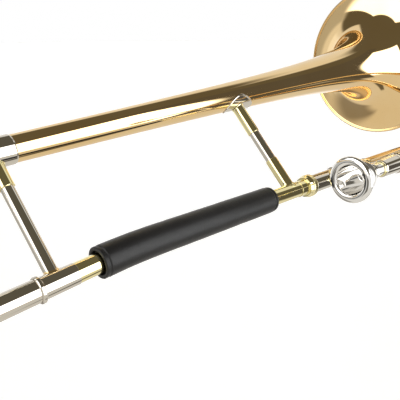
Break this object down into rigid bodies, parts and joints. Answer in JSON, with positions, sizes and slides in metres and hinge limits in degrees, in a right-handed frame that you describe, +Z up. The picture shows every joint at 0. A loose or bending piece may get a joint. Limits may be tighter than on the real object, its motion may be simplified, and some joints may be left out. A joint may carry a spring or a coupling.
{
  "type": "tenor trombone",
  "caption": "Brass tenor trombone with a bell section, friction tuning slide, free hand slide, sprung water key, leather hand guard and silver mouthpiece.",
  "frame": {"origin": "centre of the slide lock nut, on the axis of the lower hand-slide tube, where the left hand holds the instrument", "axes": "+X forward along the hand slide, +Z up, +Y to the player's left; the bell plane leans 42 degrees to +Y and the hand-slide plane 66 degrees to -Y"},
  "size_m": [1.2054, 0.2941, 0.2247],
  "materials": {
    "lacquered_gold_brass": "polished brass with a warm gold lacquer",
    "yellow_brass": "polished yellow brass, clear lacquer",
    "nickel_silver": "polished nickel",
    "chrome_tube": "hard chrome plate",
    "silver_plate": "bright silver plate",
    "steel": "plain steel",
    "black_leather": "matte black grained leather",
    "lining_felt": "black felt lining",
    "hook_tape": "black hook and loop tape",
    "cork": "natural cork",
    "black_rubber": "matte black rubber"
  },
  "bodies": {
    "bell_section": {"bell": "lacquered_gold_brass", "rim_wire": "steel", "bell_ferrule": "nickel_silver", "bell_sleeve": "nickel_silver", "bell_sleeve_ring": "nickel_silver", "neck_sleeve": "nickel_silver", "neck_sleeve_ring": "nickel_silver", "neck_bead_ring": "nickel_silver", "neck_ferrule": "nickel_silver", "neckpipe": "yellow_brass", "rear_brace_sleeve": "yellow_brass", "rear_brace_rod": "nickel_silver", "rear_brace_foot": "yellow_brass", "bell_saddle": "nickel_silver", "front_brace_upper_sleeve": "yellow_brass", "front_brace_rod": "nickel_silver", "front_brace_lower_sleeve": "yellow_brass", "neck_saddle": "yellow_brass", "leather_guard": "black_leather", "guard_lining": "lining_felt", "guard_flap": "hook_tape", "slide_receiver": "yellow_brass"},
    "lock_nut": {"lock_nut": "yellow_brass"},
    "tuning_slide": {"tuning_bell_leg": "nickel_silver", "tuning_bell_leg_ferrule": "nickel_silver", "tuning_neck_leg": "nickel_silver", "tuning_neck_leg_ferrule": "nickel_silver", "tuning_crook": "lacquered_gold_brass", "tuning_brace": "nickel_silver"},
    "inner_slide": {"slide_tenon": "yellow_brass", "lower_barrel": "nickel_silver", "upper_barrel": "nickel_silver", "lower_inner_tube": "chrome_tube", "upper_inner_tube": "chrome_tube", "cork_bumpers": "cork", "inner_brace_rod": "nickel_silver", "inner_brace_flanges": "yellow_brass", "receiver_ring": "yellow_brass", "mouthpiece_receiver": "nickel_silver", "leadpipe": "yellow_brass"},
    "mouthpiece": {"mouthpiece": "silver_plate"},
    "lock_ring": {"slide_lock_ring": "nickel_silver"},
    "outer_slide": {"lower_outer_tube": "lacquered_gold_brass", "lower_hand_sleeve": "lacquered_gold_brass", "lower_bow_ferrule": "nickel_silver", "upper_outer_tube": "lacquered_gold_brass", "upper_hand_sleeve": "lacquered_gold_brass", "upper_bow_ferrule": "nickel_silver", "hand_brace_rod": "nickel_silver", "hand_brace_sockets": "yellow_brass", "slide_bow": "lacquered_gold_brass", "bumper_socket": "yellow_brass", "slide_bumper": "black_rubber", "lock_stud": "nickel_silver", "water_key_nipple": "yellow_brass", "water_key_saddle": "yellow_brass", "water_key_screw": "steel", "water_key_spring": "steel"},
    "water_key": {"water_key_lever": "yellow_brass", "water_key_cork": "cork"}
  },
  "joints": [
    {"name": "lock_nut_turn", "type": "hinge", "parent": "bell_section", "child": "lock_nut", "pos_m": [0, 0, 0], "axis": [1, 0, 0], "range_deg": [0, 360]},
    {"name": "bell_swivel", "type": "hinge", "parent": "bell_section", "child": "inner_slide", "pos_m": [0, 0, 0], "axis": [1, 0, 0], "range_deg": [-30, 30]},
    {"name": "tuning_slide_pull", "type": "slide", "parent": "bell_section", "child": "tuning_slide", "axis": [-0.9972, -0.0503, -0.0556], "range_m": [0, 0.05]},
    {"name": "mouthpiece_pull", "type": "slide", "parent": "inner_slide", "child": "mouthpiece", "axis": [-1, 0, 0], "range_m": [0, 0.04]},
    {"name": "lock_ring_turn", "type": "hinge", "parent": "inner_slide", "child": "lock_ring", "pos_m": [0.045, 0, 0], "axis": [1, 0, 0], "range_deg": [0, 30]},
    {"name": "hand_slide", "type": "slide", "parent": "inner_slide", "child": "outer_slide", "axis": [1, 0, 0], "range_m": [0, 0.58]},
    {"name": "water_key_press", "type": "hinge", "parent": "outer_slide", "child": "water_key", "pos_m": [0.674, 0.01384, -0.00628], "axis": [0, 0.4131, 0.9107], "range_deg": [0, 12], "stiffness_Nm_per_rad": 0.4, "springref_deg": -8.02}
  ]
}
